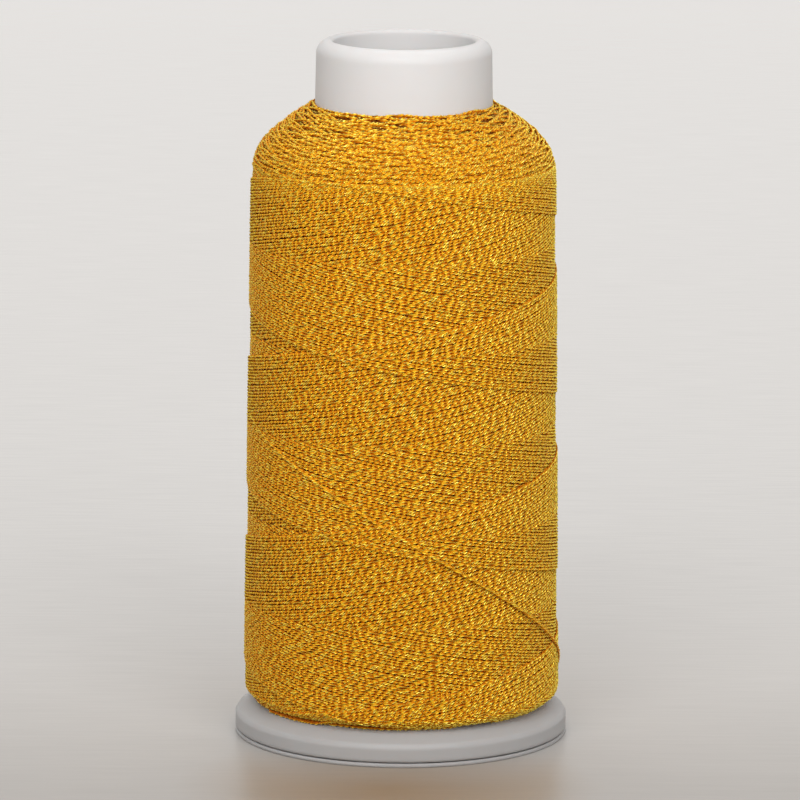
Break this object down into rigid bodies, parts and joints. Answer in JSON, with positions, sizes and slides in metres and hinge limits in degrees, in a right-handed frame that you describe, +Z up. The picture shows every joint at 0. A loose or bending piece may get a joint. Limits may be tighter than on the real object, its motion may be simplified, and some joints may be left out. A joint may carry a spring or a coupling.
{
  "type": "spool of thread",
  "caption": "King spool of twisted sewing thread, cross-wound on a white plastic barrel with a bare collar, flange and a snap-in locking base that traps the thread's tail.",
  "frame": {"origin": "on the floor, at the middle of the base's underside", "axes": "+Z up along the bore's axis, -Y towards the front"},
  "size_m": [0.057, 0.057, 0.12],
  "materials": {
    "spool_plastic": "white moulded polypropylene, semi-gloss",
    "base_plastic": "white moulded polypropylene, semi-gloss",
    "thread": "bright gold trilobal polyester, twisted, with a silky sheen"
  },
  "bodies": {
    "locking_base": {"locking_base": "base_plastic"},
    "spool": {"spool_barrel": "spool_plastic", "thread_package": "thread", "outer_winding": "thread"}
  },
  "joints": [
    {"name": "base_lock", "type": "slide", "parent": "locking_base", "child": "spool", "axis": [0, 0, 1], "range_m": [0, 0.0025]}
  ]
}
